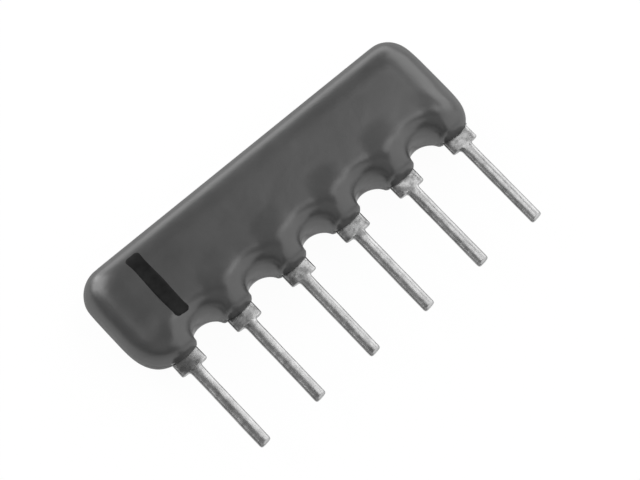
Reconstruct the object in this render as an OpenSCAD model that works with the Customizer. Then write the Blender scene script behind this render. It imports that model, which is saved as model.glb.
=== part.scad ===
// Single in-line resistor network: a printed ceramic plate in a dipped epoxy coating,
// with stamped fork leads soldered along its lower edge.
// The part lies on its flat back. X runs along the lead row with lead 1 at -X,
// the leads point to -Y, and +Z is the marked face. All sizes are in millimetres.

/* [Lead row] */
// Number of leads
pin_count = 6; // [4:1:12]
// Spacing of neighbouring leads
pin_pitch = 2.54; // [2.3:0.02:3.2]

/* [Fork leads] */
// Width of the straight part
lead_w = 0.5; // [0.4:0.02:0.64]
// Thickness of the strip that the leads are stamped from
lead_t = 0.25; // [0.2:0.01:0.32]
// Length from the seating ledges to the tip
lead_len = 3.77; // [2.5:0.05:6]
// Length of the tapered flats at the tip
tip_len = 0.12; // [0.06:0.02:0.3]
// Step back of each tapered flat at the tip
tip_step = 0.06; // [0.02:0.01:0.12]
// Fillet between the straight part and the seating ledges
ledge_fillet = 0.12; // [0.06:0.01:0.16]
// Rounding of the outer corners of the seating ledges
ledge_round = 0.06; // [0.03:0.01:0.1]
// Width across the shoulders and the fork
shoulder_w = 1.14; // [1.04:0.02:1.3]
// Flat height of the shoulders above the seating ledges
shoulder_h = 0.4; // [0.3:0.05:0.6]
// Width of the middle finger
middle_w = 0.36; // [0.28:0.02:0.46]
// Slit between neighbouring fingers
slit_w = 0.08; // [0.04:0.01:0.12]
// Height of the bend that spreads the fingers to the faces of the ceramic
spread_h = 0.7; // [0.6:0.05:1.2]
// Straight stretch of the fingers below the ceramic
crotch_h = 0.3; // [0.2:0.05:0.6]
// Length of the fingers on the ceramic
grip_h = 1; // [0.7:0.05:1.2]

/* [Ceramic plate] */
// Height of the plate
plate_h = 3; // [2.9:0.05:5]
// Thickness of the plate
plate_t = 0.635; // [0.5:0.005:0.8]

/* [Printed films] */
// Thickness of the conductor print
conductor_t = 0.02; // [0.01:0.005:0.04]
// Thickness of the resistor print where it laps the conductors
resistor_t = 0.015; // [0.01:0.005:0.04]
// Thickness of the glass over the resistors
glaze_t = 0.025; // [0.015:0.005:0.05]
// Pad past each side of its solder
pad_lap = 0.03; // [0.02:0.01:0.1]
// Bare ceramic between the films and the plate's edges
film_margin = 0.1; // [0.05:0.01:0.2]
// Width of the common bar above the resistors
bus_h = 0.4; // [0.25:0.05:0.5]
// Width of a resistor
resistor_w = 1.1; // [0.7:0.05:1.3]
// Length of resistor that laps each conductor
resistor_lap = 0.2; // [0.1:0.05:0.3]
// Width of the trimming cut
trim_w = 0.06; // [0.03:0.01:0.1]
// Depth of the trimming cut into the resistor's side
trim_d = 0.45; // [0.2:0.05:0.6]

/* [Solder] */
// Solder over the outer faces of the fingers
solder_t = 0.06; // [0.03:0.01:0.12]
// Solder past the ends of the gripping stretch
solder_lap = 0.12; // [0.06:0.02:0.2]
// Solder past the sides of the fork
solder_side = 0.05; // [0.02:0.01:0.06]

/* [Epoxy coating] */
// Coating over the marked face of the ceramic
coat_front = 0.8; // [0.7:0.05:1.2]
// Coating over the back of the ceramic
coat_back = 0.82; // [0.7:0.05:1.2]
// Coating above the ceramic
coat_top = 0.57; // [0.4:0.01:0.8]
// Coating past the ceramic beyond lead 1
coat_first = 0.67; // [0.2:0.01:1]
// Coating past the ceramic beyond the last lead
coat_last = 0.23; // [0.2:0.01:1]
// Coating below the ceramic at the arches between the leads
coat_under = 0.24; // [0.15:0.02:0.34]
// Height of the lobes' lower edges above the flat shoulders
lobe_lift = 0.06; // [0:0.02:0.2]
// Lobe past each side of its fork
lobe_lap = 0.07; // [0.03:0.01:0.12]
// Height of the rounded lower corners of a lobe
lobe_round = 0.2; // [0.08:0.02:0.24]
// Rounding of the upper corners, seen from the front
upper_r = 1.05; // [0.6:0.05:1.5]
// Reach of the rounded lower corner beyond lead 1, along the row
lower_first_w = 1.4; // [1:0.05:1.6]
// Height of the rounded lower corner beyond lead 1
lower_first_h = 1.55; // [1:0.05:1.8]
// Reach of the rounded lower corner beyond the last lead, along the row
lower_last_w = 0.8; // [0.5:0.05:1]
// Height of the rounded lower corner beyond the last lead
lower_last_h = 1.2; // [0.8:0.05:1.4]
// Reach of the rounded top edge over the faces
top_rim = 1.3; // [0.8:0.05:1.5]
// Reach of the rounded ends over the faces
end_rim = 1.5; // [1:0.05:1.7]
// Reach of the slope that runs up the faces from the lip of a lobe
lobe_slope = 1.3; // [1:0.05:1.6]
// Reach of the slope above an arch
arch_slope = 0.6; // [0.4:0.05:0.9]
// Reach of the slope beyond the end leads
end_slope = 0.95; // [0.7:0.05:1.2]
// Reach of a lobe's slope to each side of its lead
slope_half = 0.9; // [0.7:0.05:1.1]
// Rounding of the lip under a lobe
lip_rim = 0.3; // [0.2:0.02:0.4]
// Rounding of the edge round an arch
arch_rim = 0.85; // [0.5:0.05:1]
// Height of the swellings over the forks
swell_h = 0.1; // [0.02:0.01:0.14]
// Reach of a swelling past each side of its fork
swell_lap = 0.35; // [0.1:0.05:0.45]

/* [Pin 1 mark] */
// Width of the printed bar
mark_w = 0.6; // [0.3:0.05:0.8]
// Distance of the bar from the axis of lead 1
mark_x = 0.8; // [0.6:0.05:1.2]
// Height of the bar's lower end above the lobes
mark_low = 1; // [0.8:0.05:1.4]
// Depth of the bar's upper end below the top
mark_top = 0.65; // [0.4:0.05:1]
// Rounding of the bar's corners
mark_r = 0.15; // [0.05:0.01:0.2]
// Thickness of the ink
ink_t = 0.015; // [0.01:0.005:0.03]

/* [Hidden] */
// Exponent of the rounded edges: 2 is an ellipse, and more is squarer
edge_power = 2.2;
// Exponent of the solder's rounded section
solder_power = 4;
// Exponent of the blend where slopes and rounded edges meet: more is sharper
join_power = 3;
// Least share of the thickness that the blend works with
join_least = 0.0001;
// Rise of the slopes' foot between two lobes, as a share of the arch's height
foot_share = 0.23;
// Share of the ceramic's corner distance that the upper rounding may take up
corner_share = 0.8;
// Thickness left at the outermost station, as a share of the whole
end_flat = 0.08;
// Steps of the curved outlines
bend_steps = 8;
solder_steps = 28;
row_steps = 16;
end_steps = 8;
lobe_steps = 8;
arch_steps = 8;
mark_steps = 4;
fillet_steps = 4;

// Places along Y, from the seating ledges
plate_y = shoulder_h + spread_h + crotch_h;
plate_top = plate_y + plate_h;
finger_top = plate_y + grip_h;
solder_top = finger_top + solder_lap;
pad_top = solder_top + film_margin + resistor_lap;
bus_top = plate_top - film_margin;
bus_low = bus_top - bus_h;
body_top = plate_top + coat_top;
lobe_y = shoulder_h + lobe_lift;
arch_y = plate_y - coat_under;

// Places along Z, from the flat back
plate_back = coat_back;
plate_front = plate_back + plate_t;
lead_z = plate_back + plate_t / 2;
finger_off = plate_t / 2 + conductor_t + lead_t / 2;

// Places along X, from the middle of the row
half_row = (pin_count - 1) * pin_pitch / 2;
solder_w = shoulder_w + 2 * solder_side;
pad_w = solder_w + 2 * pad_lap;
plate_l = 2 * half_row + pad_w + 2 * film_margin;
body_left = -plate_l / 2 - coat_first;
body_right = plate_l / 2 + coat_last;
lobe_half = shoulder_w / 2 + lobe_lap;
arch_half = pin_pitch / 2 - lobe_half;
arch_h = arch_y - lobe_y - lobe_round;
left_reach = -half_row - lobe_half - body_left;
right_reach = body_right - half_row - lobe_half;
// Largest upper rounding that still covers the corners of the ceramic
coat_least = min(coat_first, coat_last);
upper_cover = corner_share * (coat_least + coat_top + sqrt(2 * coat_least * coat_top));
upper_fit = min(upper_r, upper_cover);
swell_half = shoulder_w / 2 + swell_lap;
swell_len = grip_h + 2 * solder_lap;

// Place of the row's middle at the seating ledges that centres the part on its origin
seat_x = -(body_left + body_right) / 2;
seat_y = (lead_len - body_top) / 2;

function pin_x(k) = (k - 1) * pin_pitch - half_row;

// Share of a half superellipse's height at a share u of its reach
function arc_share(u, power) = (1 - min(1, abs(u)) ^ power) ^ (1 / power);

// Distance of x from the nearest lead axis
function from_pin(x) =
    let (k = min(max(round((x + half_row) / pin_pitch), 0), pin_count - 1))
    abs(x + half_row - k * pin_pitch);

// Smooth fall from 1 at s = 0 to 0 at s = 1
function fall(s) = (1 + cos(180 * min(max(s, 0), 1))) / 2;

// Distance of x from the nearer end of the coating
function end_inset(x) = min(x - body_left, body_right - x);

// Whether x lies between the end leads
function inner(x) = abs(x) < half_row;

// Rise of the lower edge at a distance from an end, a quarter ellipse
function corner_rise(inset, reach, height) = height * (1 - arc_share(1 - min(inset, reach) / reach, 2));
function end_rise(x) =
    corner_rise(x - body_left, lower_first_w, lower_first_h)
    + corner_rise(body_right - x, lower_last_w, lower_last_h);

// Lower edge of the lobes: a half ellipse hangs over each fork, and its ends carry on between the forks
function lobe_low(x) =
    lobe_y + end_rise(x) + (inner(x) ? lobe_round * (1 - arc_share(from_pin(x) / lobe_half, 2)) : 0);

// Lower edge of the coating: the lobes, with a half ellipse as an arch between two forks
function coat_low(x) =
    lobe_low(x) + (inner(x) ? arch_h * arc_share((pin_pitch / 2 - from_pin(x)) / arch_half, 2) : 0);

// Upper edge of the coating, with its rounded corners
function coat_high(x) =
    let (inset = min(end_inset(x), upper_fit))
    body_top - upper_fit + sqrt(max(0, upper_fit ^ 2 - (upper_fit - inset) ^ 2));

// Share of the full thickness, which falls off at the rounded ends
function end_share(x) =
    let (inset = min(end_inset(x), end_rim))
    max(end_flat, arc_share(1 - inset / end_rim, edge_power));

// Swelling of the marked face over the forks
function swell(x, y) = swell_h * fall(from_pin(x) / swell_half) * fall((y - plate_y) / swell_len);

// Share of the full height at a distance from an edge, a quarter superellipse over its reach
function rise(distance, reach, power) = arc_share(1 - min(max(distance / reach, 0), 1), power);

// Smooth minimum of a list of shares, which is 1 where all of them are 1
function joined(shares) =
    let (
        steep = [for (share = shares) max(share, join_least) ^ -join_power],
        ones = [for (share = shares) 1]
    )
    (steep * ones - len(shares) + 1) ^ (-1 / join_power);

// Distance of (x, y) from the edge of the nearest arch
function from_arch(x, y) =
    let (u = (pin_pitch / 2 - from_pin(x)) / arch_half, v = (y - lobe_y - lobe_round) / arch_h)
    (norm([u, v]) - 1) * (arch_half + arch_h) / 2;

// Share of the full thickness at (x, y): the top rim, and a joint of the slope that runs up over the lobes,
// the round edge of the arches and the lip of the lobes
function height_share(x, y) =
    let (
        low = lobe_low(x),
        high = coat_high(x),
        half = (high - low) / 2,
        over = fall(from_pin(x) / slope_half),
        foot = lobe_y + end_rise(x) + (inner(x) ? foot_share * arch_h * (1 - over) : 0),
        aside = inner(x) ? arch_slope : end_slope,
        slope = rise(y - foot, min(aside + (lobe_slope - aside) * over, half), edge_power),
        arch = inner(x) ? rise(from_arch(x, y), arch_rim, edge_power) : 1,
        lip = rise(y - low, lip_rim, 2)
    )
    rise(high - y, min(top_rim, half), edge_power) * joined([slope, arch, lip]);

// Height of the coating's surface on one side: 1 is the marked face, -1 the flat back
function coat_z(x, y, side) =
    let (full = plate_t / 2 + (side > 0 ? coat_front + swell(x, y) : coat_back))
    lead_z + side * end_share(x) * height_share(x, y) * full;

// Closed section across the coating at x: up the marked face and down the back, with close rows at both edges
function section(x) =
    let (
        low = coat_low(x),
        high = coat_high(x),
        rows = [for (i = [0:row_steps]) low + (high - low) * (1 - cos(180 * i / row_steps)) / 2]
    )
    concat(
        [for (y = rows) [x, y, coat_z(x, y, 1)]],
        [for (i = [row_steps - 1:-1:1]) [x, rows[i], coat_z(x, rows[i], -1)]]
    );

// Stations along the row, close together where the outline turns
function end_step(i, reach) = reach * (1 - cos(90 * i / end_steps));
stations = concat(
    [for (i = [0:end_steps]) body_left + end_step(i, left_reach)],
    [for (k = [1:pin_count]) each concat(
        [for (i = [1:lobe_steps]) pin_x(k) - lobe_half * cos(180 * i / lobe_steps)],
        k == pin_count ? [] :
        [for (i = [1:arch_steps]) pin_x(k) + pin_pitch / 2 - arch_half * cos(180 * i / arch_steps)]
    )],
    [for (i = [1:end_steps]) body_right - end_step(end_steps - i, right_reach)]
);
// Stations of the stretch that carries the mark, which ends short of the second fork's swelling
mark_stations = [for (x = stations) if (x < pin_x(2) - swell_half) x];

// Solid through the sections at the given stations, closed by a fan at each end
module coat_loft(at) {
    sections = [for (x = at) section(x)];
    m = len(sections[0]);
    last = (len(at) - 1) * m;
    hub = last + m;
    hub_y = (plate_y + plate_top) / 2;
    polyhedron(
        points = concat(
            [for (s = sections) each s],
            [for (x = [at[0], at[len(at) - 1]]) [x, hub_y, lead_z]]
        ),
        faces = concat(
            [for (j = [0:m - 1]) [hub, (j + 1) % m, j]],
            [for (j = [0:m - 1]) [hub + 1, last + j, last + (j + 1) % m]],
            [for (i = [0:len(at) - 2]) for (j = [0:m - 1])
                let (a = i * m + j, b = i * m + (j + 1) % m)
                each [[a, b, a + m], [b, b + m, a + m]]]
        )
    );
}

// Prism of a (Y, Z) outline, with its width centred on x
module across(x, width) {
    translate([x, 0, 0])
        rotate([90, 0, 90])
            linear_extrude(height = width, center = true)
                children();
}

// Film on the marked face of the ceramic, from the corner (x, y)
module front_film(x, y, width, height, thickness) {
    translate([x, y, plate_front])
        cube([width, height, thickness]);
}

// Point of a bent finger at the share s of its bend, on one of its two faces
function bend_point(side, s, face) =
    let (
        slope = side * finger_off * PI / 2 * sin(180 * s) / spread_h,
        a = atan(slope),
        z = lead_z + side * finger_off * (1 - fall(s))
    )
    [shoulder_h + spread_h * s - face * lead_t / 2 * sin(a), z + face * lead_t / 2 * cos(a)];

// Finger that bends to one face of the ceramic and runs up it
module finger(x, width, side) {
    z = lead_z + side * finger_off;
    across(x, width)
        polygon(concat(
            [for (i = [0:bend_steps]) bend_point(side, i / bend_steps, 1)],
            [[finger_top, z + lead_t / 2], [finger_top, z - lead_t / 2]],
            [for (i = [bend_steps:-1:0]) bend_point(side, i / bend_steps, -1)]
        ));
}

// Right half of the strip's outline: tapered tip, straight part, filleted ledge and rounded shoulder
function strip_side() = concat(
    [[lead_w / 2 - tip_step, -lead_len], [lead_w / 2, tip_len - lead_len]],
    [for (i = [0:fillet_steps])
        let (a = 90 * i / fillet_steps)
        [lead_w / 2 + ledge_fillet * (1 - cos(a)), ledge_fillet * (sin(a) - 1)]],
    [for (i = [0:fillet_steps])
        let (a = 90 * i / fillet_steps)
        [shoulder_w / 2 + ledge_round * (sin(a) - 1), ledge_round * (1 - cos(a))]],
    [[shoulder_w / 2, shoulder_h]]
);

// Stamped lead: flat strip with a tapered tip and shoulders, and a fork of three fingers
module fork_lead(k) {
    x = pin_x(k);
    side = strip_side();
    outer_w = (shoulder_w - middle_w) / 2 - slit_w;
    outer_x = (shoulder_w - outer_w) / 2;
    translate([x, 0, lead_z - lead_t / 2])
        linear_extrude(height = lead_t)
            polygon(concat(side, [for (i = [len(side) - 1:-1:0]) [-side[i][0], side[i][1]]]));
    finger(x - outer_x, outer_w, 1);
    finger(x, middle_w, -1);
    finger(x + outer_x, outer_w, 1);
}

module lead(k) {
    color("silver") fork_lead(k);
}

module ceramic_plate() {
    translate([-plate_l / 2, plate_y, plate_back])
        cube([plate_l, plate_h, plate_t]);
}

module ceramic_substrate() {
    color("ivory") ceramic_plate();
}

// Solder pad under the outer fingers of lead k
module front_pad(k) {
    low = plate_y + film_margin;
    front_film(pin_x(k) - pad_w / 2, low, pad_w, pad_top - low, conductor_t);
}

module pad_conductor(k) {
    color("darkgray") front_pad(k);
}

// Common bar along the top, and its leg down to lead 1
module bus_print() {
    low = plate_y + film_margin;
    left = pin_x(1) - pad_w / 2;
    right = pin_x(pin_count) + resistor_w / 2;
    front_film(left, bus_low, right - left, bus_h, conductor_t);
    front_film(left, low, pad_w, bus_top - low, conductor_t);
}

module bus_conductor() {
    color("darkgray") bus_print();
}

// Solder pads under the middle fingers, on the back of the ceramic
module back_print() {
    low = plate_y + film_margin;
    for (k = [1:pin_count])
        translate([pin_x(k) - pad_w / 2, low, plate_back - conductor_t])
            cube([pad_w, solder_top + film_margin - low, conductor_t]);
}

module back_pads() {
    color("darkgray") back_print();
}

// Resistor from the common bar down to the pad of lead k, with its trimming cut
module resistor_print(k) {
    low = pad_top - resistor_lap;
    high = bus_low + resistor_lap;
    difference() {
        front_film(pin_x(k) - resistor_w / 2, low, resistor_w, high - low, conductor_t + resistor_t);
        front_pad(k);
        bus_print();
        translate([pin_x(k) + resistor_w / 2 - trim_d, (low + high - trim_w) / 2, plate_back])
            cube([trim_d + resistor_w, trim_w, 2 * plate_t]);
    }
}

module resistor_film(k) {
    color("dimgray") resistor_print(k + 1);
}

// Glass sheet over the resistors and the common bar
module glaze_sheet() {
    low = solder_top + film_margin / 2;
    high = plate_top - film_margin / 2;
    width = plate_l - film_margin;
    front_film(-width / 2, low, width, high - low, conductor_t + resistor_t + glaze_t);
}

module glass_overglaze() {
    color("darkolivegreen")
        difference() {
            glaze_sheet();
            bus_print();
            for (k = [2:pin_count]) {
                front_pad(k);
                resistor_print(k);
            }
        }
}

// Rounded block of solder round the fork and the lower edge of the ceramic
module solder_block(k) {
    middle = plate_y + grip_h / 2;
    reach = grip_h / 2 + solder_lap;
    half = finger_off + lead_t / 2 + solder_t;
    across(pin_x(k), solder_w)
        polygon([for (i = [0:solder_steps - 1])
            let (a = 360 * i / solder_steps, c = cos(a), s = sin(a))
            [middle + reach * sign(c) * abs(c) ^ (2 / solder_power),
             lead_z + half * sign(s) * abs(s) ^ (2 / solder_power)]]);
}

module solder_joint(k) {
    color("lightgray")
        difference() {
            solder_block(k);
            ceramic_plate();
            front_pad(k);
            bus_print();
            back_print();
            fork_lead(k);
        }
}

// Dipped coating, moulded round everything that it holds
module epoxy_coating() {
    color("dimgray")
        difference() {
            coat_loft(stations);
            ceramic_plate();
            bus_print();
            back_print();
            glaze_sheet();
            for (k = [1:pin_count]) {
                front_pad(k);
                solder_block(k);
                fork_lead(k);
            }
        }
}

// Outline of the printed bar, with a round corner in each quarter turn
module mark_outline() {
    low = lobe_y + mark_low;
    high = body_top - mark_top;
    corner_x = mark_w / 2 - mark_r;
    corner_y = (high - low) / 2 - mark_r;
    translate([mark_x - half_row, (low + high) / 2])
        polygon([for (quarter = [0:3]) for (i = [0:mark_steps])
            let (a = 90 * (quarter + i / mark_steps), side = quarter * 90 + 45)
            [sign(cos(side)) * corner_x + mark_r * cos(a), sign(sin(side)) * corner_y + mark_r * sin(a)]]);
}

// Printed bar beside lead 1, one ink film over the coating
module pin_one_mark() {
    color("black")
        difference() {
            intersection() {
                translate([0, 0, ink_t]) coat_loft(mark_stations);
                translate([0, 0, plate_front])
                    linear_extrude(height = 2 * coat_front)
                        mark_outline();
            }
            coat_loft(mark_stations);
        }
}

// Shift that puts the middle of the whole part over the origin
module placed() {
    translate([seat_x, seat_y, 0]) children();
}

placed() epoxy_coating();
placed() ceramic_substrate();
placed() bus_conductor();
placed() back_pads();
placed() glass_overglaze();
placed() pin_one_mark();
for (k = [2:pin_count]) {
    placed() pad_conductor(k);
}
for (k = [1:pin_count - 1]) {
    placed() resistor_film(k);
}
for (k = [1:pin_count]) {
    placed() lead(k);
    placed() solder_joint(k);
}
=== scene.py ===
"""A single in-line resistor network: its dipped coating, tinned fork leads, printed bar and the printed plate inside.

Shapes are worked out in millimetres, in the row frame, and go into the meshes in metres."""

import bpy
import numpy as np
from mathutils import Matrix, Vector


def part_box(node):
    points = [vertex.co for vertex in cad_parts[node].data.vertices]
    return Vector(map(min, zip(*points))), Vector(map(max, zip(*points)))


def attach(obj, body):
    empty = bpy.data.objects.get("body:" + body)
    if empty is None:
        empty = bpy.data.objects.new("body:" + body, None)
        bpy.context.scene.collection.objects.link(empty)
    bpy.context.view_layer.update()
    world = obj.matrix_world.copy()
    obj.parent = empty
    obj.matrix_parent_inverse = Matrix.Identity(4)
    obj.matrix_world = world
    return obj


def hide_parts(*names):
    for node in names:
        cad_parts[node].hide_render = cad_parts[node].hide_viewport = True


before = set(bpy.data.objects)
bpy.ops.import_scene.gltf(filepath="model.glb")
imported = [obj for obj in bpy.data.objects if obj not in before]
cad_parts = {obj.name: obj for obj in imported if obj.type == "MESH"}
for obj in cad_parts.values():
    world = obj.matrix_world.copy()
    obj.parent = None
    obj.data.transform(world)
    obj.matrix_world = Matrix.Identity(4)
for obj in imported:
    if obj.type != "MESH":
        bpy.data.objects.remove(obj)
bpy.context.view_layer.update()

MM = 0.001


def box_mm(node):
    """Lowest and highest corner of a node at rest, in millimetres."""
    low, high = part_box(node)
    return np.array(low) / MM, np.array(high) / MM


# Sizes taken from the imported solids
COAT_MIN, COAT_MAX = box_mm("epoxy_coating")
PLATE_MIN, PLATE_MAX = box_mm("ceramic_substrate")
MARK_MIN, MARK_MAX = box_mm("pin_one_mark")
LEADS = sorted(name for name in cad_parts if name.startswith("lead_"))
LEAD_MIN, LEAD_MAX = np.transpose([box_mm(name) for name in LEADS], (1, 0, 2))
PIN_X = (LEAD_MIN[:, 0] + LEAD_MAX[:, 0]) / 2
PITCH = PIN_X[1] - PIN_X[0]
TIP_Y = LEAD_MIN[0, 1]
FORK_TOP = LEAD_MAX[0, 1]
SHOULDER_W = LEAD_MAX[0, 0] - LEAD_MIN[0, 0]
STRIP_Z = (PLATE_MIN[2] + PLATE_MAX[2]) / 2
LEFT, _, BACK_Z = COAT_MIN
RIGHT, TOP_Y, SWELL_Z = COAT_MAX

# Leads, with heights counted from the ledges
LEAD_W = 0.5
LEAD_T = 0.25
LEAD_LEN = 3.77
LEDGE_Y = TIP_Y + LEAD_LEN
LEDGE_FILLET = 0.12
LEDGE_ROUND = 0.06
STRIP_TOP = 0.8
SHOULDER_H = 0.4
SPREAD_H = 0.7
FINGER_START = 0.3  # share of the spread, inside the coating
FINGER_OFF = (LEAD_MAX[0, 2] - LEAD_MIN[0, 2] - LEAD_T) / 2
MIDDLE_W = 0.36
SLIT_W = 0.08
TIP_LEN = 0.12
TIP_STEP = 0.06
TIP_SLANT = 0.05
SLANT_LEN = 4 * TIP_LEN

# Sections and uneven skin of the leads
LEAD_POWER = 2.05
SHOULDER_POWER_RISE = 0.9
BLEND_START = 4 * LEDGE_FILLET  # below the ledges
BLEND_LEN = 5 * LEDGE_FILLET
FINGER_POWER = 4.0
SKIN_WAVES = (2.1, 4.7)  # radians for each millimetre
WIDTH_WAVE = 0.03
THICKNESS_WAVE = 0.06
TIP_THINNING = 0.35
FIRST_PHASE = 1.0
PHASE_STEP = 1.9

# Coating
LOBE_OVERHANG = 0.07
LOBE_RISE = 0.46
PLATE_COVER = 0.24
LOBE_HALF = SHOULDER_W / 2 + LOBE_OVERHANG
LOBE_Y = LEDGE_Y + LOBE_RISE
LOBE_ROUND = 0.2
NOTCH_Y = LOBE_Y + LOBE_ROUND
NOTCH_W = PITCH / 2 - LOBE_HALF
NOTCH_H = PLATE_MIN[1] - PLATE_COVER - NOTCH_Y
NOTCH_RIM = 0.9
LIP_RIM = 0.16
BACK_LIP = 0.5
BACK_LIFT = 0.1
UPPER_R = 1.05
FIRST_CORNER = (1.4, 1.55)  # reach and height
LAST_CORNER = (0.8, 1.2)
TOP_RIM = 1.3
SLOPE_LOBE = 1.5
SLOPE_NOTCH = 0.6
SLOPE_END = 0.95
SLOPE_HALF = 0.9
NOTCH_LIFT = 0.115
END_RIM = 1.5
EDGE_POWER = 2.2
SLOPE_POWER = 2.7
TOP_POWER = 2.7
JOIN_POWER = 3.0
RIDGE_SHIFT = 0.22
SWELL_H = 0.1
SWELL_SIDE = 0.35
SWELL_HALF = SHOULDER_W / 2 + SWELL_SIDE
SWELL_LEN = 1.24
FRONT_HALF = SWELL_Z - SWELL_H - STRIP_Z
BACK_HALF = STRIP_Z - BACK_Z
RIPPLE = 0.004
RIPPLE_WAVES = ((1.7, 0.6, 0.0), (-0.9, 2.3, 1.0), (0.8, 1.9, 2.2))  # radians for each millimetre in X and Y, start

# Printed bar
MARK_R = 0.15
MARK_CORE = 0.02  # share of the outline at the innermost ring
INK_T = 0.015
INK_SINK = 0.004
INK_POWER = 14

# Points of the meshes
STATION_POINTS = 23
COAT_ROWS = 81
STRIP_SIDES = 48
CORNER_POINTS = 9
TIP_POINTS = 7
LEAD_POINTS = 60
SHOULDER_POINTS = 8
FINGER_SIDES = 32
SPREAD_POINTS = 23
GRIP_POINTS = 9
MARK_POINTS = 96
MARK_RINGS = 40


# Meshes

def tube_faces(rows, count):
    """Quads between neighbouring rings of a closed section with count points."""
    row, place = np.meshgrid(np.arange(rows - 1), np.arange(count), indexing="ij")
    after = (place + 1) % count
    near, far = row * count, (row + 1) * count
    return np.stack([near + place, near + after, far + after, far + place], axis=-1).reshape(-1, 4)


def closed_tube(rings):
    """A tube through rings[row, place], with a fan from the middle of its first and last ring, faces outward.

    The sign of the volume, the sum of the corner determinants of all triangles, says which way the faces point."""
    rows, count, _ = rings.shape
    points = np.concatenate([rings.reshape(-1, 3), rings[[0, -1]].mean(axis=1)])
    quads = tube_faces(rows, count)
    place = np.arange(count)
    after = (place + 1) % count
    last = (rows - 1) * count
    first_fan = np.stack([np.full(count, rows * count), after, place], axis=-1)
    last_fan = np.stack([np.full(count, rows * count + 1), last + place, last + after], axis=-1)
    triangles = np.concatenate([quads[:, [0, 1, 2]], quads[:, [0, 2, 3]], first_fan, last_fan])
    volume = np.linalg.det(points[triangles]).sum()
    step = 1 if volume > 0 else -1
    faces = [quad[::step] for quad in quads.tolist() + first_fan.tolist() + last_fan.tolist()]
    return points, faces


def add_piece(name, shells, material, nodes):
    """One object made of closed shells (points in millimetres, faces), which stands for the named nodes."""
    points, faces, start = [], [], 0
    for shell_points, shell_faces in shells:
        points.append(shell_points)
        faces += [[start + corner for corner in face] for face in shell_faces]
        start += len(shell_points)
    mesh = bpy.data.meshes.new(name)
    mesh.from_pydata((np.concatenate(points) * MM).tolist(), [], faces)
    mesh.polygons.foreach_set("use_smooth", np.ones(len(mesh.polygons), dtype=bool))
    mesh.update()
    mesh.materials.append(material)
    piece = bpy.data.objects.new(name, mesh)
    bpy.context.collection.objects.link(piece)
    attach(piece, "root")
    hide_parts(*nodes)


# Curves that the shapes share

def arc_share(u, power=2.0):
    """Height of a unit superellipse at u: 1 in the middle, 0 at 1 and beyond."""
    return (1 - np.clip(np.abs(u), 0, 1) ** power) ** (1 / power)


def fall(s):
    """Half a cosine wave, from 1 at s = 0 down to 0 at s = 1."""
    return (1 + np.cos(np.pi * np.clip(s, 0, 1))) / 2


def signed_power(value, power):
    """The value's size raised to a power, with its sign kept."""
    return np.sign(value) * np.abs(value) ** power


# Coating

def from_pin(x):
    """Distance along the row to the nearest lead."""
    return np.abs(x[..., None] - PIN_X).min(axis=-1)


def between_pins(x):
    """True between the first lead and the last one."""
    return (x > PIN_X[0]) & (x < PIN_X[-1])


def end_inset(x):
    """Distance from the nearer end of the coating."""
    return np.minimum(x - LEFT, RIGHT - x)


def lower_corner(x):
    """Rise of the lower edge towards each end, a quarter ellipse of its own reach and height."""
    first_reach, first_height = FIRST_CORNER
    last_reach, last_height = LAST_CORNER
    first = first_height * (1 - arc_share(1 - np.minimum(x - LEFT, first_reach) / first_reach))
    last = last_height * (1 - arc_share(1 - np.minimum(RIGHT - x, last_reach) / last_reach))
    return first + last


def lobe_edge(x):
    """Lower edge of the lobes, a flat half ellipse under each lead, held at its highest between the lobes."""
    lobe = LOBE_ROUND * (1 - arc_share(from_pin(x) / LOBE_HALF))
    return LOBE_Y + np.where(between_pins(x), lobe, 0) + lower_corner(x)


def lower_edge(x):
    """Lower edge: the lobes, with an elliptic notch between each two leads."""
    notch = NOTCH_H * arc_share((PITCH / 2 - from_pin(x)) / NOTCH_W)
    return lobe_edge(x) + np.where(between_pins(x), notch, 0)


def upper_edge(x):
    """Upper edge: straight, with a quarter round at each end."""
    inset = np.minimum(end_inset(x), UPPER_R)
    return TOP_Y - UPPER_R + np.sqrt(np.maximum(UPPER_R ** 2 - (UPPER_R - inset) ** 2, 0))


def end_share(x):
    """Share of the full thickness, which closes over the end rim as a superellipse."""
    least = 0.015
    return np.maximum(least, arc_share(1 - np.minimum(end_inset(x), END_RIM) / END_RIM, EDGE_POWER))


def rise(distance, reach, power=EDGE_POWER):
    """Share of the full height at a distance from an edge, a quarter superellipse over the reach."""
    return arc_share(1 - np.clip(distance / reach, 0, 1), power)


def least_share(*shares):
    """Smooth minimum of shares from 0 to 1: the superellipse that joins them, 1 where all of them are 1."""
    least = 1e-4
    total = sum(np.maximum(share, least) ** -JOIN_POWER for share in shares)
    return (total - len(shares) + 1) ** (-1 / JOIN_POWER)


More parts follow.
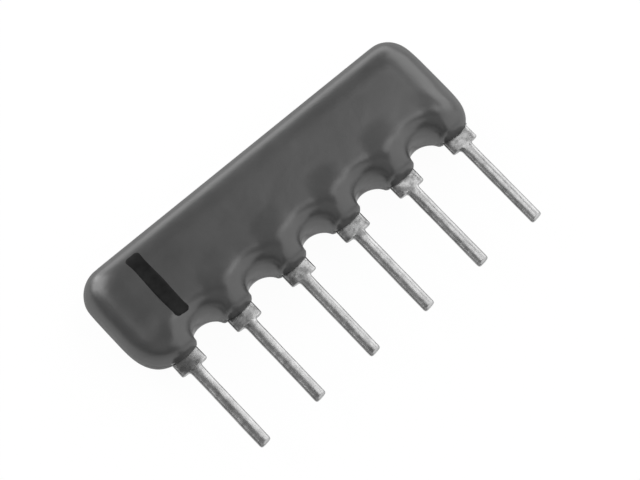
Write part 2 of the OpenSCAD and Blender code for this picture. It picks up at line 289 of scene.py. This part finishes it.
def height_share(x, y, lip_reach, lift=0.0):
    """Share of the full thickness at a place on the face.

    It joins the top rim, a slope that runs far up over each lobe and less far over the notches, the round
    of each notch and the lip under each lobe, which has a reach of its own. The slope's ridge lies a little
    right of each lead. The lift raises the foot of each lobe, by half a cosine wave on each side."""
    low, high = lobe_edge(x), upper_edge(x)
    between = between_pins(x)
    over_lobe = fall(from_pin(x) / SLOPE_HALF)
    ridge = fall(from_pin(x - RIDGE_SHIFT) / SLOPE_HALF)
    half = (high - low) / 2
    raised = lift * fall((from_pin(x) - LOBE_HALF / 2) / (PITCH / 2 - LOBE_HALF / 2))
    foot = LOBE_Y + np.where(between, NOTCH_LIFT * (1 - over_lobe), 0) + lower_corner(x) + raised
    aside = np.where(between_pins(x - RIDGE_SHIFT), SLOPE_NOTCH, SLOPE_END)
    slope_reach = np.minimum(aside + (SLOPE_LOBE - aside) * ridge, half)
    slope = rise(y - foot, slope_reach, SLOPE_POWER)
    ellipse = np.hypot((PITCH / 2 - from_pin(x)) / NOTCH_W, (y - NOTCH_Y) / NOTCH_H)
    from_notch = (ellipse - 1) * (NOTCH_W + NOTCH_H) / 2
    notch = np.where(between, rise(from_notch, NOTCH_RIM, SLOPE_POWER), 1)
    lip = rise(y - low - raised, lip_reach, 2)
    return rise(high - y, np.minimum(TOP_RIM, half), TOP_POWER) * least_share(slope, notch, lip)


def ripple(x, y):
    """Slow unevenness of the dipped skin: crossed sine waves, at most 0 and at least -1."""
    waves = sum(np.sin(along * x + up * y + start) for along, up, start in RIPPLE_WAVES)
    return (waves - len(RIPPLE_WAVES)) / (2 * len(RIPPLE_WAVES))


def marked_face(x, y):
    """Height of the marked face: full thickness, swollen over the forks, times the shares of the rims."""
    swell = SWELL_H * fall(from_pin(x - RIDGE_SHIFT) / SWELL_HALF) * fall((y - PLATE_MIN[1]) / SWELL_LEN)
    full = FRONT_HALF + swell + RIPPLE * ripple(x, y)
    return STRIP_Z + end_share(x) * height_share(x, y, LIP_RIM) * full


def flat_back(x, y):
    """Height of the back: full thickness times the shares of the rims, its lobes rounder and a little shorter."""
    return STRIP_Z - end_share(x) * height_share(x, y, BACK_LIP, BACK_LIFT) * BACK_HALF


def coat_stations():
    """Places along the row, closer together at the ends and where lobes and notches meet, by cosine waves."""
    wave = np.linspace(0, np.pi, STATION_POINTS)[1:]
    quarter = np.linspace(0, np.pi / 2, STATION_POINTS)
    lobes = [pin - LOBE_HALF * np.cos(wave) for pin in PIN_X]
    notches = [pin + PITCH / 2 - NOTCH_W * np.cos(wave) for pin in PIN_X[:-1]]
    left_end = LEFT + (PIN_X[0] - LOBE_HALF - LEFT) * (1 - np.cos(quarter))
    right_end = RIGHT - (RIGHT - PIN_X[-1] - LOBE_HALF) * (1 - np.cos(quarter[::-1][1:]))
    return np.sort(np.concatenate([left_end, *lobes, *notches, right_end]))


def coating(material):
    """Marked face and back over one grid: stations along the row, rows from the lower edge to the upper one.

    The rows lie closer together at both edges, by half a cosine wave."""
    x = coat_stations()[:, None]
    low, high = lower_edge(x), upper_edge(x)
    y = low + (high - low) * (1 - np.cos(np.linspace(0, np.pi, COAT_ROWS)[None, :])) / 2
    x = np.broadcast_to(x, y.shape)
    front = np.stack([x, y, marked_face(x, y)], axis=-1)
    back = np.stack([x, y, flat_back(x, y)], axis=-1)
    rings = np.concatenate([front, back[:, -2:0:-1]], axis=1)
    add_piece("dipped_coating", [closed_tube(rings)], material, ["epoxy_coating"])


# Leads

def ring_shape(count, power):
    """Across and through places of a superellipse section, one row for each power."""
    turn = np.linspace(0, 2 * np.pi, count, endpoint=False)[None, :]
    return signed_power(np.cos(turn), 2 / power), signed_power(np.sin(turn), 2 / power)


def strip_profile():
    """Heights above the ledges and the half width at each: tip, straight lead, fillet, ledge and shoulder."""
    half, wide = LEAD_W / 2, SHOULDER_W / 2
    quarter = np.linspace(0, np.pi / 2, CORNER_POINTS)
    tip = np.linspace(0, 1, TIP_POINTS)
    tip_y = -LEAD_LEN + TIP_LEN * tip
    tip_w = half - TIP_STEP * (1 - arc_share(1 - tip))
    lead_y = np.linspace(-LEAD_LEN + TIP_LEN, -LEDGE_FILLET, LEAD_POINTS)[1:]
    fillet_y = -LEDGE_FILLET * (1 - np.sin(quarter[1:]))
    fillet_w = half + LEDGE_FILLET * (1 - np.cos(quarter[1:]))
    corner_y = LEDGE_ROUND * (1 - np.cos(quarter))
    corner_w = wide - LEDGE_ROUND * (1 - np.sin(quarter))
    top_y = np.linspace(LEDGE_ROUND, STRIP_TOP, SHOULDER_POINTS)[1:]
    lead_w, top_w = np.full(len(lead_y), half), np.full(len(top_y), wide)
    y = np.concatenate([tip_y, lead_y, fillet_y, corner_y, top_y])
    w = np.concatenate([tip_w, lead_w, fillet_w, corner_w, top_w])
    return y, w


def lead_strip(pin_x, phase):
    """Superellipse sections along the stamped strip, rounder on the dipped lead and squarer at the shoulders.

    A few slow sine waves make the dipped skin uneven, and the tip is cut on a slant."""
    y, w = (values[:, None] for values in strip_profile())
    power = LEAD_POWER + SHOULDER_POWER_RISE * (1 - fall((y + BLEND_START) / BLEND_LEN))
    across, through = ring_shape(STRIP_SIDES, power)
    slow, quick = SKIN_WAVES
    wave = (np.sin(slow * y + phase) + np.sin(quick * y + 2 * phase) - 2) / 4
    width = w * (1 + WIDTH_WAVE * wave)
    tip_in = np.maximum(0, 1 - (y + LEAD_LEN) / TIP_LEN)
    thick = LEAD_T / 2 * (1 + THICKNESS_WAVE * wave - TIP_THINNING * tip_in ** 2)
    x = pin_x + width * across
    slant = TIP_SLANT * np.maximum(0, 1 - (y + LEAD_LEN) / SLANT_LEN) * (across + 1) / 2
    return np.stack([x, LEDGE_Y + y + slant, STRIP_Z + thick * through], axis=-1)


def finger(centre_x, width, side):
    """A superellipse section swept along the spread of the fork.

    Its middle line goes half a cosine wave off the strip, then straight up, and the section stays square to it."""
    s = np.linspace(FINGER_START, 1, SPREAD_POINTS)
    spread_y = SHOULDER_H + SPREAD_H * s
    spread_z = side * FINGER_OFF * (1 - fall(s))
    grip_y = np.linspace(SHOULDER_H + SPREAD_H, FORK_TOP - LEDGE_Y, GRIP_POINTS)[1:]
    y = np.concatenate([spread_y, grip_y])
    z = np.concatenate([spread_z, np.full(len(grip_y), side * FINGER_OFF)])
    slope = np.arctan2(np.gradient(z), np.gradient(y))[:, None]
    across, through = ring_shape(FINGER_SIDES, np.full((len(y), 1), FINGER_POWER))
    off = LEAD_T / 2 * through
    ring_x = centre_x + width / 2 * across
    ring_y = LEDGE_Y + y[:, None] - off * np.sin(slope)
    ring_z = STRIP_Z + z[:, None] + off * np.cos(slope)
    return np.stack([ring_x, ring_y, ring_z], axis=-1)


def fork_lead(name, pin_x, phase, material):
    """The strip with its shoulders, two outer fingers to the front of the plate and the middle one to its back."""
    outer_w = (SHOULDER_W - MIDDLE_W) / 2 - SLIT_W
    outer_x = (SHOULDER_W - outer_w) / 2
    rings = [lead_strip(pin_x, phase), finger(pin_x, MIDDLE_W, -1)]
    rings += [finger(pin_x + side * outer_x, outer_w, 1) for side in (-1, 1)]
    add_piece("tinned_" + name, [closed_tube(ring) for ring in rings], material, [name])


# Printed bar

def printed_bar(material):
    """A rounded rectangle shrunk towards its middle, laid on the marked face: the ink thins out at its edge."""
    middle = (MARK_MIN[:2] + MARK_MAX[:2]) / 2
    half = (MARK_MAX[:2] - MARK_MIN[:2]) / 2
    digits = 9
    turn = np.linspace(0, 2 * np.pi, MARK_POINTS, endpoint=False)
    arc = np.stack([np.cos(turn), np.sin(turn)], axis=-1)
    outline = np.sign(np.round(arc, digits)) * (half - MARK_R) + MARK_R * arc
    share = np.linspace(MARK_CORE, 1, MARK_RINGS)
    place = middle + share[:, None, None] * outline
    face = marked_face(place[..., 0], place[..., 1])
    ink = INK_T * (1 - share[:, None] ** INK_POWER)
    upper = np.concatenate([place, (face + ink)[..., None]], axis=-1)
    lower = np.concatenate([place, (face - INK_SINK)[..., None]], axis=-1)
    rings = np.concatenate([upper, lower[::-1]])
    add_piece("printed_bar", [closed_tube(rings)], material, ["pin_one_mark"])


# Shared shader groups

def add_node(tree, kind, settings=None, **values):
    """A node of a kind, with its settings and the values of its unlinked inputs."""
    node = tree.nodes.new(kind)
    for name, value in (settings or {}).items():
        setattr(node, name, value)
    for name, value in values.items():
        node.inputs[name.replace("_", " ")].default_value = value
    return node


def new_group(name, inputs, output):
    """An empty shader group: a Vector input, named number inputs with their defaults, and one number output."""
    group = bpy.data.node_groups.new(name, "ShaderNodeTree")
    group.interface.new_socket("Vector", in_out="INPUT", socket_type="NodeSocketVector")
    for socket_name, value in inputs.items():
        socket = group.interface.new_socket(socket_name, in_out="INPUT", socket_type="NodeSocketFloat")
        socket.default_value = value
    group.interface.new_socket(output, in_out="OUTPUT", socket_type="NodeSocketFloat")
    return group, group.nodes.new("NodeGroupInput"), group.nodes.new("NodeGroupOutput")


def uneven_tone_group():
    """Soft cloudy noise, stretched from its usual span to a low and a high value."""
    group, start, end = new_group("uneven tone", {"Scale": 1.0, "Low": 0.0, "High": 1.0}, "Tone")
    noise = add_node(group, "ShaderNodeTexNoise", Detail=4.0, Roughness=0.55)
    spread = add_node(group, "ShaderNodeMapRange", From_Min=0.3, From_Max=0.7)
    group.links.new(start.outputs["Vector"], noise.inputs["Vector"])
    group.links.new(start.outputs["Scale"], noise.inputs["Scale"])
    group.links.new(noise.outputs["Fac"], spread.inputs["Value"])
    group.links.new(start.outputs["Low"], spread.inputs["To Min"])
    group.links.new(start.outputs["High"], spread.inputs["To Max"])
    group.links.new(spread.outputs["Result"], end.inputs["Tone"])
    return group


def skin_relief_group():
    """Height of an uneven skin: slow waves plus a share of fine grain."""
    inputs = {"Wave Scale": 1.0, "Grain Scale": 10.0, "Grain Share": 0.2}
    group, start, end = new_group("skin relief", inputs, "Height")
    wave = add_node(group, "ShaderNodeTexNoise", Detail=2.0)
    grain = add_node(group, "ShaderNodeTexNoise", Detail=3.0)
    total = add_node(group, "ShaderNodeMath", {"operation": "MULTIPLY_ADD"})
    for noise, scale in ((wave, "Wave Scale"), (grain, "Grain Scale")):
        group.links.new(start.outputs["Vector"], noise.inputs["Vector"])
        group.links.new(start.outputs[scale], noise.inputs["Scale"])
    group.links.new(grain.outputs["Fac"], total.inputs[0])
    group.links.new(start.outputs["Grain Share"], total.inputs[1])
    group.links.new(wave.outputs["Fac"], total.inputs[2])
    group.links.new(total.outputs["Value"], end.inputs["Height"])
    return group


def specks_group():
    """Scattered specks: small cells of a Voronoi pattern, kept only where a slow noise is high."""
    group, start, end = new_group("specks", {"Scale": 8.0, "Size": 0.25, "Spread": 0.6}, "Mask")
    cells = add_node(group, "ShaderNodeTexVoronoi")
    field = add_node(group, "ShaderNodeTexNoise", Detail=2.0)
    field_share = 0.37
    field_scale = add_node(group, "ShaderNodeMath", {"operation": "MULTIPLY"})
    field_scale.inputs[1].default_value = field_share
    soft = {"interpolation_type": "SMOOTHSTEP"}
    inside = add_node(group, "ShaderNodeMapRange", soft, From_Min=0.0, To_Min=1.0, To_Max=0.0)
    kept = add_node(group, "ShaderNodeMapRange", soft, From_Max=0.75)
    both = add_node(group, "ShaderNodeMath", {"operation": "MULTIPLY"})
    for texture in (cells, field):
        group.links.new(start.outputs["Vector"], texture.inputs["Vector"])
    group.links.new(start.outputs["Scale"], cells.inputs["Scale"])
    group.links.new(start.outputs["Scale"], field_scale.inputs[0])
    group.links.new(field_scale.outputs["Value"], field.inputs["Scale"])
    group.links.new(cells.outputs["Distance"], inside.inputs["Value"])
    group.links.new(start.outputs["Size"], inside.inputs["From Max"])
    group.links.new(field.outputs["Fac"], kept.inputs["Value"])
    group.links.new(start.outputs["Spread"], kept.inputs["From Min"])
    group.links.new(inside.outputs["Result"], both.inputs[0])
    group.links.new(kept.outputs["Result"], both.inputs[1])
    group.links.new(both.outputs["Value"], end.inputs["Mask"])
    return group


UNEVEN_TONE = uneven_tone_group()
SKIN_RELIEF = skin_relief_group()
SPECKS = specks_group()


# Materials

def grey(value):
    """A neutral colour of a linear value."""
    return (value, value, value, 1.0)


class Finish:
    """A Principled material on Object coordinates in millimetres, whose inputs take the shared groups' patterns."""

    def __init__(self, name, **values):
        self.material = bpy.data.materials.new(name)
        self.material.use_nodes = True
        self.tree = self.material.node_tree
        self.shader = self.tree.nodes["Principled BSDF"]
        for socket, value in values.items():
            self.shader.inputs[socket.replace("_", " ")].default_value = value
        coordinates = self.tree.nodes.new("ShaderNodeTexCoord")
        self.mapping = add_node(self.tree, "ShaderNodeMapping", Scale=(1 / MM,) * 3)
        self.tree.links.new(coordinates.outputs["Object"], self.mapping.inputs["Vector"])

    def pattern(self, group, **values):
        """A shared group with its own values; returns its one output."""
        node = add_node(self.tree, "ShaderNodeGroup", {"node_tree": group})
        for socket, value in values.items():
            node.inputs[socket.replace("_", " ")].default_value = value
        self.tree.links.new(self.mapping.outputs["Vector"], node.inputs["Vector"])
        return node.outputs[0]

    def stripe(self, mask, low, high, soft):
        """Keeps a mask only between two places along Y, with soft ends."""
        smooth = {"interpolation_type": "SMOOTHSTEP"}
        split = self.tree.nodes.new("ShaderNodeSeparateXYZ")
        self.tree.links.new(self.mapping.outputs["Vector"], split.inputs["Vector"])
        for start, end in ((low - soft, low), (high + soft, high)):
            edge = add_node(self.tree, "ShaderNodeMapRange", smooth, From_Min=start, From_Max=end)
            both = add_node(self.tree, "ShaderNodeMath", {"operation": "MULTIPLY"})
            self.tree.links.new(split.outputs["Y"], edge.inputs["Value"])
            self.tree.links.new(edge.outputs["Result"], both.inputs[0])
            self.tree.links.new(mask, both.inputs[1])
            mask = both.outputs["Value"]
        return mask

    def mix(self, mask, first, second):
        """Mixes two colours, each a colour or another output, by a mask."""
        node = add_node(self.tree, "ShaderNodeMix", {"data_type": "RGBA"})
        self.tree.links.new(mask, node.inputs[0])
        for socket, colour in ((node.inputs[6], first), (node.inputs[7], second)):
            if isinstance(colour, tuple):
                socket.default_value = colour
            else:
                self.tree.links.new(colour, socket)
        return node.outputs[2]

    def feed(self, socket, output):
        """Links an output to an input of the shader."""
        self.tree.links.new(output, self.shader.inputs[socket])

    def fade_edge_on(self, socket, straight, edge_on):
        """Runs an input of the shader from one value, seen straight on, to another, seen edge on."""
        start, end = 0.4, 0.75
        weight = add_node(self.tree, "ShaderNodeLayerWeight", Blend=0.5)
        span = add_node(self.tree, "ShaderNodeMapRange",
                        From_Min=start, From_Max=end, To_Min=straight, To_Max=edge_on)
        self.tree.links.new(weight.outputs["Facing"], span.inputs["Value"])
        self.feed(socket, span.outputs["Result"])

    def relief(self, height, depth):
        """Bump from a height pattern, its depth in millimetres."""
        bump = add_node(self.tree, "ShaderNodeBump", Strength=1.0, Distance=depth * MM)
        self.tree.links.new(height, bump.inputs["Height"])
        self.feed("Normal", bump.outputs["Normal"])


def epoxy_finish():
    """Dark grey dipped epoxy: cloudy tone, a few pale filler specks and a faint orange-peel skin.

    Its satin gloss fades edge on."""
    finish = Finish("dipped epoxy", IOR=1.58)
    cloud = finish.pattern(UNEVEN_TONE, Scale=0.45)
    tone = finish.mix(cloud, grey(0.028), grey(0.036))
    speck = finish.pattern(SPECKS, Scale=9.0, Size=0.22, Spread=0.55)
    finish.feed("Base Color", finish.mix(speck, tone, grey(0.055)))
    finish.feed("Roughness", finish.pattern(UNEVEN_TONE, Scale=1.3, Low=0.28, High=0.34))
    finish.fade_edge_on("Specular IOR Level", straight=0.5, edge_on=0.03)
    skin = finish.pattern(SKIN_RELIEF, Wave_Scale=1.1, Grain_Scale=14.0, Grain_Share=0.06)
    finish.relief(skin, depth=0.012)
    return finish.material


def tinned_finish():
    """Solder-dipped strip: grey metal with cloudy gloss, dark specks, darker shoulders (partly flux stains, partly
    painted shade) and a lumpy skin.
    """
    finish = Finish("tinned strip", Metallic=1.0)
    cloud = finish.pattern(UNEVEN_TONE, Scale=2.2)
    tone = finish.mix(cloud, grey(0.25), grey(0.35))
    speck = finish.pattern(SPECKS, Scale=6.0, Size=0.22, Spread=0.55)
    # Darker cloudy band on the shoulders just under the coating: partly flux stains, partly painted shade where the
    # shoulders meet the coating.
    flux_and_shade_cloud = finish.pattern(UNEVEN_TONE, Scale=3.4, Low=-0.9, High=1.6)
    flux_and_painted_shade_band = finish.stripe(flux_and_shade_cloud, low=LEDGE_Y - 0.1, high=LEDGE_Y + 0.6, soft=0.25)
    flux_and_shade_tone = finish.mix(flux_and_painted_shade_band, tone, grey(0.17))
    finish.feed("Base Color", finish.mix(speck, flux_and_shade_tone, grey(0.12)))
    finish.feed("Roughness", finish.pattern(UNEVEN_TONE, Scale=4.0, Low=0.22, High=0.36))
    skin = finish.pattern(SKIN_RELIEF, Wave_Scale=2.4, Grain_Scale=18.0, Grain_Share=0.08)
    finish.relief(skin, depth=0.012)
    return finish.material


def ink_finish():
    """Black stamping ink: slightly uneven cover and a dull sheen."""
    finish = Finish("black ink", IOR=1.45, Specular_IOR_Level=0.07)
    cloud = finish.pattern(UNEVEN_TONE, Scale=3.0)
    finish.feed("Base Color", finish.mix(cloud, grey(0.006), grey(0.012)))
    finish.feed("Roughness", finish.pattern(UNEVEN_TONE, Scale=5.0, Low=0.38, High=0.52))
    skin = finish.pattern(SKIN_RELIEF, Wave_Scale=3.0, Grain_Scale=25.0, Grain_Share=0.3)
    finish.relief(skin, depth=0.006)
    return finish.material


def alumina_finish():
    """Off-white fired ceramic: faint clouds, a fine matt grain and a few grey pits."""
    finish = Finish("alumina", IOR=1.6)
    cloud = finish.pattern(UNEVEN_TONE, Scale=1.2)
    tone = finish.mix(cloud, (0.74, 0.72, 0.68, 1), (0.82, 0.81, 0.78, 1))
    pits = finish.pattern(SPECKS, Scale=11.0, Size=0.2, Spread=0.6)
    finish.feed("Base Color", finish.mix(pits, tone, grey(0.5)))
    finish.feed("Roughness", finish.pattern(UNEVEN_TONE, Scale=6.0, Low=0.5, High=0.7))
    skin = finish.pattern(SKIN_RELIEF, Wave_Scale=6.0, Grain_Scale=40.0, Grain_Share=0.8)
    finish.relief(skin, depth=0.004)
    return finish.material


def conductor_finish():
    """Fired silver-palladium print: pale grey metal with a coarse screen-printed skin."""
    finish = Finish("silver print", Metallic=1.0)
    cloud = finish.pattern(UNEVEN_TONE, Scale=4.0)
    finish.feed("Base Color", finish.mix(cloud, (0.56, 0.55, 0.52, 1), (0.70, 0.69, 0.66, 1)))
    finish.feed("Roughness", finish.pattern(UNEVEN_TONE, Scale=9.0, Low=0.42, High=0.6))
    skin = finish.pattern(SKIN_RELIEF, Wave_Scale=12.0, Grain_Scale=45.0, Grain_Share=0.6)
    finish.relief(skin, depth=0.005)
    return finish.material


def resistor_finish():
    """Ruthenium-oxide resistor film: near-black, matt and slightly cloudy."""
    finish = Finish("resistor film", IOR=1.5)
    cloud = finish.pattern(UNEVEN_TONE, Scale=5.0)
    finish.feed("Base Color", finish.mix(cloud, (0.018, 0.019, 0.021, 1), (0.035, 0.036, 0.039, 1)))
    finish.feed("Roughness", finish.pattern(UNEVEN_TONE, Scale=8.0, Low=0.45, High=0.62))
    skin = finish.pattern(SKIN_RELIEF, Wave_Scale=10.0, Grain_Scale=50.0, Grain_Share=0.5)
    finish.relief(skin, depth=0.004)
    return finish.material


def overglaze_finish():
    """Green glass glaze over the resistors: glossy, with a cloudy tint and small pinholes."""
    finish = Finish("glass glaze", IOR=1.52)
    cloud = finish.pattern(UNEVEN_TONE, Scale=2.0)
    tone = finish.mix(cloud, (0.012, 0.055, 0.035, 1), (0.022, 0.085, 0.055, 1))
    pinholes = finish.pattern(SPECKS, Scale=14.0, Size=0.16, Spread=0.58)
    finish.feed("Base Color", finish.mix(pinholes, tone, (0.006, 0.02, 0.014, 1)))
    finish.feed("Roughness", finish.pattern(UNEVEN_TONE, Scale=4.0, Low=0.14, High=0.26))
    skin = finish.pattern(SKIN_RELIEF, Wave_Scale=3.0, Grain_Scale=30.0, Grain_Share=0.2)
    finish.relief(skin, depth=0.004)
    return finish.material


def solder_finish():
    """Solder in the joints: bright tin-grey metal, smooth and a little frosty."""
    finish = Finish("solder", Metallic=1.0)
    cloud = finish.pattern(UNEVEN_TONE, Scale=3.0)
    finish.feed("Base Color", finish.mix(cloud, grey(0.55), grey(0.72)))
    finish.feed("Roughness", finish.pattern(UNEVEN_TONE, Scale=6.0, Low=0.2, High=0.36))
    skin = finish.pattern(SKIN_RELIEF, Wave_Scale=2.5, Grain_Scale=20.0, Grain_Share=0.2)
    finish.relief(skin, depth=0.02)
    return finish.material


EPOXY = epoxy_finish()
TINNED = tinned_finish()
INK = ink_finish()
CONDUCTOR = conductor_finish()
INNER_FINISHES = {
    "ceramic_substrate": alumina_finish(),
    "bus_conductor": CONDUCTOR,
    "pad_conductor": CONDUCTOR,
    "back_pads": CONDUCTOR,
    "resistor_film": resistor_finish(),
    "glass_overglaze": overglaze_finish(),
    "solder_joint": solder_finish(),
}

for node_name, node_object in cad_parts.items():
    for start, inner_finish in INNER_FINISHES.items():
        if node_name.startswith(start):
            node_object.data.materials.clear()
            node_object.data.materials.append(inner_finish)

coating(EPOXY)
for number, lead_name in enumerate(LEADS):
    fork_lead(lead_name, PIN_X[number], FIRST_PHASE + PHASE_STEP * number, TINNED)
printed_bar(INK)


# Floor and light

def floor_finish():
    """A matt white floor on a light table.

    The camera sees it mostly as plain white, so only a faint shadow stays, and shiny faces mirror its full glow."""
    white_share = 0.965
    table_glow = 1.25
    material = bpy.data.materials.new("studio floor")
    material.use_nodes = True
    tree = material.node_tree
    shader = tree.nodes["Principled BSDF"]
    shader.inputs["Base Color"].default_value = grey(0.8)
    shader.inputs["Roughness"].default_value = 0.9
    seen = tree.nodes.new("ShaderNodeLightPath")
    glow = add_node(tree, "ShaderNodeEmission", Color=grey(1.0))
    strength = add_node(tree, "ShaderNodeMath", {"operation": "MULTIPLY_ADD"})
    strength.inputs[1].default_value = table_glow - 1.0
    strength.inputs[2].default_value = 1.0
    either = add_node(tree, "ShaderNodeMath", {"operation": "MAXIMUM"})
    any_ray = add_node(tree, "ShaderNodeMath", {"operation": "MAXIMUM"})
    share = add_node(tree, "ShaderNodeMath", {"operation": "MULTIPLY"})
    share.inputs[1].default_value = white_share
    mixed = tree.nodes.new("ShaderNodeMixShader")
    tree.links.new(seen.outputs["Is Camera Ray"], either.inputs[0])
    tree.links.new(seen.outputs["Is Glossy Ray"], either.inputs[1])
    tree.links.new(either.outputs["Value"], any_ray.inputs[0])
    tree.links.new(seen.outputs["Is Transmission Ray"], any_ray.inputs[1])
    tree.links.new(seen.outputs["Is Glossy Ray"], strength.inputs[0])
    tree.links.new(strength.outputs["Value"], glow.inputs["Strength"])
    tree.links.new(any_ray.outputs["Value"], share.inputs[0])
    tree.links.new(share.outputs["Value"], mixed.inputs["Fac"])
    tree.links.new(shader.outputs["BSDF"], mixed.inputs[1])
    tree.links.new(glow.outputs["Emission"], mixed.inputs[2])
    tree.links.new(mixed.outputs["Shader"], tree.nodes["Material Output"].inputs["Surface"])
    return material


def studio_floor():
    """A square sheet just under the flat back, in place in its mesh."""
    reach, below = 2.0, -0.02 * MM
    mesh = bpy.data.meshes.new("studio_floor")
    signs = ((-1, -1), (1, -1), (1, 1), (-1, 1))
    corners = [(reach * x, reach * y, below) for x, y in signs]
    mesh.from_pydata(corners, [], [(0, 1, 2, 3)])
    mesh.materials.append(floor_finish())
    floor = bpy.data.objects.new("studio_floor", mesh)
    bpy.context.collection.objects.link(floor)


def studio_world(ambient):
    """White where the camera looks past the floor, a dim grey room for all other rays."""
    world = bpy.data.worlds.new("studio")
    bpy.context.scene.world = world
    world.use_nodes = True
    tree = world.node_tree
    room = tree.nodes["Background"]
    room.inputs["Color"].default_value = grey(ambient)
    white = add_node(tree, "ShaderNodeBackground", Color=grey(1.0), Strength=1.0)
    seen = tree.nodes.new("ShaderNodeLightPath")
    mixed = tree.nodes.new("ShaderNodeMixShader")
    tree.links.new(seen.outputs["Is Camera Ray"], mixed.inputs["Fac"])
    tree.links.new(room.outputs["Background"], mixed.inputs[1])
    tree.links.new(white.outputs["Background"], mixed.inputs[2])
    tree.links.new(mixed.outputs["Shader"], tree.nodes["World Output"].inputs["Surface"])


def softbox(name, direction, width, height, radiance, distance=0.3):
    """An area lamp that faces the object: power is radiance times pi times area. Lengths are in metres."""
    lamp = bpy.data.lights.new(name, "AREA")
    lamp.shape = "RECTANGLE"
    lamp.size, lamp.size_y = width, height
    lamp.energy = radiance * np.pi * width * height
    box = bpy.data.objects.new(name, lamp)
    towards = Vector(direction).normalized()
    box.rotation_euler = towards.to_track_quat("Z", "Y").to_euler()
    box.location = towards * distance
    box.visible_camera = False
    bpy.context.collection.objects.link(box)


studio_floor()
studio_world(0.32)
softbox("overhead_box", (0.40, 0.12, 0.907), 0.019, 0.0225, radiance=2.5, distance=0.05)
softbox("right_box", (0.855, 0.278, 0.438), 0.22, 0.195, radiance=2.45)
softbox("back_strip", (0.252, 0.942, 0.22), 0.42, 0.15, radiance=2.7)
softbox("corner_box", (-0.393, 0.772, 0.5), 0.22, 0.22, radiance=4.3, distance=0.28)
softbox("front_fill", (0.58, -0.58, 0.57), 0.46, 0.40, radiance=1.5)
softbox("left_fill", (-0.58, -0.335, 0.743), 0.28, 0.26, radiance=0.42)


# Camera, fitted to the photograph, in millimetres and pixels

IMAGE_W = 640
SENSOR_W = 36.0
FOCAL_PX = 4501.4
AZIMUTH = np.radians(-41.641)
ELEVATION = np.radians(67.106)
DISTANCE = 157.928
AIM_ACROSS = -0.410
AIM_UP = 0.547


def photo_camera():
    """A camera at the fitted turn and height, aimed beside the middle of the lead row by two small offsets."""
    level = np.cos(ELEVATION)
    back = Vector((np.sin(AZIMUTH) * level, -np.cos(AZIMUTH) * level, np.sin(ELEVATION)))
    right = Vector((np.cos(AZIMUTH), np.sin(AZIMUTH), 0.0))
    up = back.cross(right)
    aim = Vector((PIN_X.mean(), LEDGE_Y, STRIP_Z))
    place = aim + AIM_ACROSS * right + AIM_UP * up + DISTANCE * back
    lens = bpy.data.cameras.new("photo_camera")
    lens.sensor_fit = "HORIZONTAL"
    lens.sensor_width = SENSOR_W
    lens.lens = FOCAL_PX / IMAGE_W * SENSOR_W
    lens.clip_start = 0.01
    lens.clip_end = 10.0
    camera = bpy.data.objects.new("photo_camera", lens)
    turn = Matrix((right, up, back)).transposed().to_4x4()
    camera.matrix_world = Matrix.Translation(place * MM) @ turn
    bpy.context.collection.objects.link(camera)
    bpy.context.scene.camera = camera


photo_camera()
bpy.context.scene.view_settings.view_transform = "Standard"
